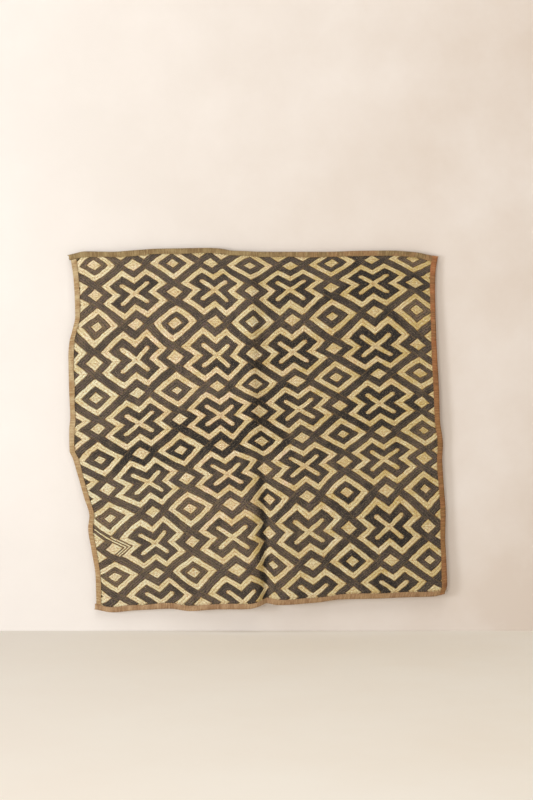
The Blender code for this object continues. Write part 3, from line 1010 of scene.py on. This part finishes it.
def growFromPoints(name, tree, points, turns, inputs):
    # points in millimetres, each with the turn its copy takes
    mesh = bpy.data.meshes.new(name)
    mesh.from_pydata([tuple(point * mm) for point in points], [], [])
    layer = mesh.attributes.new("turn", "FLOAT_VECTOR", "POINT")
    layer.data.foreach_set("vector", np.asarray(turns, np.float32).ravel())
    piece = inScene(name, mesh)
    nodes = piece.modifiers.new("Repeat", "NODES")
    nodes.node_group = tree
    for socket in tree.interface.items_tree:
        if socket.in_out == "INPUT" and socket.name in inputs:
            nodes[socket.identifier] = inputs[socket.name]
    applyModifiers(piece)
    piece.data.shade_smooth()
    return piece


def frameTurn(along, out):
    # the turn that lays local X along the first direction with local Z pointing out
    x = Vector(along).normalized()
    z = Vector(out)
    z = (z - x * z.dot(x)).normalized()
    y = z.cross(x)
    return Matrix((x, y, z)).transposed().to_euler()


def makeWhipping(material):
    w, b = whipping, binding
    draw = np.random.default_rng(90)
    a, d = cloth["acrossSize"], cloth["downSize"]
    spots = bindingSpots()
    runs = {
        "top": (0.0, 0.985, a),
        "bottom": (0.0, 0.985, a),
        "left": (0.02, 0.98, d),
        "right": (0.004, 0.996, d),
    }
    points, turns = [], []
    for side, (start, end, size) in runs.items():
        count = round((end - start) * size / w["spacing"])
        places = np.linspace(start, end, count) + draw.uniform(-0.2, 0.2, count) * w["spacing"] / size
        inward = b["leg"] + draw.uniform(-0.5, 0.3, count)
        at = spots[side](places, inward)
        ahead = spots[side](places + 0.002, inward - 1.2)
        normal = clothNormal(*at)
        middle = clothPoint(*at)
        along = clothPoint(*ahead) - middle
        edgeward = clothPoint(*spots[side](places, inward - 1.5)) - middle
        for face in (1, -1):
            for k in range(count):
                direction = edgeward[k] / np.linalg.norm(edgeward[k])
                direction = direction + w["slant"] * along[k] / np.linalg.norm(along[k])
                points.append(middle[k] + normal[k] * face * (b["lift"] - w["sunk"]))
                turns.append(tuple(frameTurn(direction, normal[k] * face)))
    tree = stitchTree("whipStitches")
    return growFromPoints("whip_stitches", tree, points, turns, {
        "Stitch Length": w["length"] * mm, "Stitch Thickness": w["thickness"] * mm,
        "Seed": 5, "Material": material})


# Frayed fibres at three corners: (name, place as shares across and down, direction, count, length)
frayed = {
    "radius": 0.16,
    "spread": (0.8, 0.7, 2.0),
    "droop": 0.35,  # share of a fibre's length that its end hangs down
    "rooted": 2.0,  # how far it runs inside the binding, mm
}
frays = [
    ("fray_top_left", (0.0, 0.006), (-1.0, 0.1, -0.15), 9, 5.0),
    ("fray_bottom_right", (1.0, 0.985), (0.8, 0.1, -0.9), 5, 5.5),
    ("fray_bottom_left", (0.0, 0.995), (-1.0, 0.0, -0.3), 6, 3.6),
]


def makeFrays(material):
    hidden = frayed["rooted"]
    pieces = []
    for k, (name, place, direction, count, length) in enumerate(frays):
        draw = np.random.default_rng(120 + k)
        curve = bpy.data.curves.new(name, "CURVE")
        curve.dimensions = "3D"
        curve.bevel_depth = frayed["radius"] * mm
        curve.bevel_resolution = 1
        curve.use_fill_caps = True
        root = clothPoint(np.array([place[0]]), np.array([place[1]]))[0]
        for _ in range(count):
            start = root + draw.uniform(-1, 1, 3) * frayed["spread"]
            way = np.array(direction) + draw.uniform(-0.5, 0.5, 3)
            way /= np.linalg.norm(way)
            reach = length * draw.uniform(0.5, 1.0)
            droop = np.array([0, 0, -frayed["droop"] * reach])
            spline = curve.splines.new("POLY")
            spline.points.add(4)
            for step in range(5):
                share = step / 4
                point = start - way * hidden + way * (reach + hidden) * share + droop * share ** 2
                spline.points[step].co = (*(point * mm), 1)
                spline.points[step].radius = 1 - 0.5 * share
        holder = inScene(name, curve)
        graph = bpy.context.evaluated_depsgraph_get()
        mesh = bpy.data.meshes.new_from_object(holder.evaluated_get(graph))
        bpy.data.objects.remove(holder)
        mesh.name = name
        mesh.materials.clear()
        mesh.materials.append(material)
        faceOutwards(mesh)
        pieces.append(inScene(name, mesh))
    return pieces


# Make the pieces
embroideryPieces = makeEmbroidery(
    raffiaThread("dyedRaffiaThread", darkDye, dyedLayers, 0.62),
    raffiaThread("naturalRaffiaThread", naturalFibre, naturalLayers, 0.55))
groundMaterial = wovenRaffia("wovenRaffiaGround", (ground["colour"], ground["shade"]), ground["thread"])
groundPiece = makeGround(groundMaterial)
bindingPieces = makeBindings()
stitchMaterial = bindingRaffia("whippingRaffia", whipping["colours"])
stitchPiece = makeWhipping(stitchMaterial)
frayPieces = makeFrays(stitchMaterial)

extras = [*embroideryPieces, *bindingPieces.values(), stitchPiece, *frayPieces]
for piece in (groundPiece, *extras):
    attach(piece, "root")
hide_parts("raffia_panel")
for side, piece in bindingPieces.items():
    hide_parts(f"binding_{side}")
print("pieces ride, and replace the plain solids")


# Room: plaster wall, pale floor, soft light from the left
room = {
    "wallBehind": 0.0102,
    "floorHeight": -0.6,
    "halfWidth": 4.0,
    "height": 3.0,
    "depth": 4.0,
    # the wall's darker right tone is a painted shade, where the light from the left falls off
    "wall": ("#e4e1de", "#d8cdc3", "#ece8e5"),  # left, right and the mottling
    "floor": ("#fdf8f0", "#faf3e6", "#fffcf4"),
    "sky": "#fff2e6",
    "skyStrength": 0.445,
}
# Soft lights: (name, place, aimed at, width, watts, colour)
lights = [
    ("windowLight", (-2.2, -1.8, -0.2), (0.0, 0.0, -0.4), 0.9, 32, "#fafcff"),
    ("lowBounce", (-0.7, -2.5, -0.3), (-0.2, 0.0, -0.8), 0.6, 11, "#fff9f1"),
    ("ceilingGlow", (0.0, -1.6, 1.9), (0.0, -1.1, -0.6), 2.6, 28, "#fffdf8"),
]


def stagePlane(name, cornersHere, colours, oneSided):
    mesh = bpy.data.meshes.new(name)
    mesh.from_pydata(cornersHere, [], [(0, 1, 2, 3)])
    mesh.update()
    plane = inScene(name, mesh)
    material, tree, shader = newMaterial(name + "Plaster")
    where = addNode(tree, "TexCoord")
    parts = addNode(tree, "SeparateXYZ", {"Vector": where.outputs["Object"]})
    # left to right tone: on the wall a painted shade of the light's falloff, on the floor only slightly
    # darker to the right
    rightward = addNode(tree, "MapRange", {
        "Value": parts.outputs["X"], "From Min": -0.45, "From Max": 0.45})
    colour = stain(tree, linearColour(colours[0]), colours[1], rightward)
    cloud = addNode(tree, "TexNoise", {
        "Vector": where.outputs["Object"], "Scale": 2.4, "Detail": 7.0, "Roughness": 0.6})
    mottle = addNode(tree, "MapRange", {
        "Value": cloud.outputs["Fac"], "From Min": 0.4, "From Max": 0.68})
    colour = stain(tree, colour, colours[2], mottle, 0.7)
    tree.links.new(colour, shader.inputs["Base Color"])
    shader.inputs["Roughness"].default_value = 0.9
    shader.inputs["Specular IOR Level"].default_value = 0.1
    if oneSided:  # the wall is clear from behind and lets light through, so that the cloth's back shows
        side = addNode(tree, "NewGeometry")
        clear = addNode(tree, "BsdfTransparent")
        both = addNode(tree, "MixShader", {
            0: side.outputs["Backfacing"], 1: shader.outputs["BSDF"], 2: clear.outputs["BSDF"]})
        tree.links.new(both.outputs["Shader"], tree.nodes["Material Output"].inputs["Surface"])
        plane.visible_shadow = False
        plane.visible_diffuse = False
    mesh.materials.append(material)
    return plane


def makeRoom():
    wide, behind = room["halfWidth"], room["wallBehind"]
    low, high, near = room["floorHeight"], room["height"], -room["depth"]
    wall = [(-wide, behind, low), (wide, behind, low), (wide, behind, high), (-wide, behind, high)]
    floor = [(-wide, near, low), (wide, near, low), (wide, behind, low), (-wide, behind, low)]
    stagePlane("wall", wall, room["wall"], True)
    stagePlane("floor", floor, room["floor"], False)


makeRoom()
for name, place, target, width, watts, colour in lights:
    light = bpy.data.lights.new(name, "AREA")
    light.shape = "DISK"
    light.size = width
    light.energy = watts
    light.color = linearColour(colour)[:3]
    lamp = inScene(name, light)
    lamp.location = place
    lamp.rotation_euler = (Vector(target) - Vector(place)).to_track_quat("-Z", "Y").to_euler()
world = bpy.data.worlds.new("studio")
world.use_nodes = True
sky = world.node_tree.nodes["Background"]
sky.inputs["Color"].default_value = linearColour(room["sky"])
sky.inputs["Strength"].default_value = room["skyStrength"]
bpy.context.scene.world = world
print("room is lit")

view = {
    "distance": 2.2,
    "across": 0.0205,
    "up": -0.234,
    "lens": 62.7,
}
lens = bpy.data.cameras.new("photoCamera")
lens.lens = view["lens"]
lens.sensor_width = 36
lens.clip_end = 30
camera = inScene("photoCamera", lens)
camera.location = (view["across"], -view["distance"], view["up"])
camera.rotation_euler = (math.pi / 2, 0, 0)
bpy.context.scene.camera = camera
bpy.context.scene.view_settings.view_transform = "Standard"
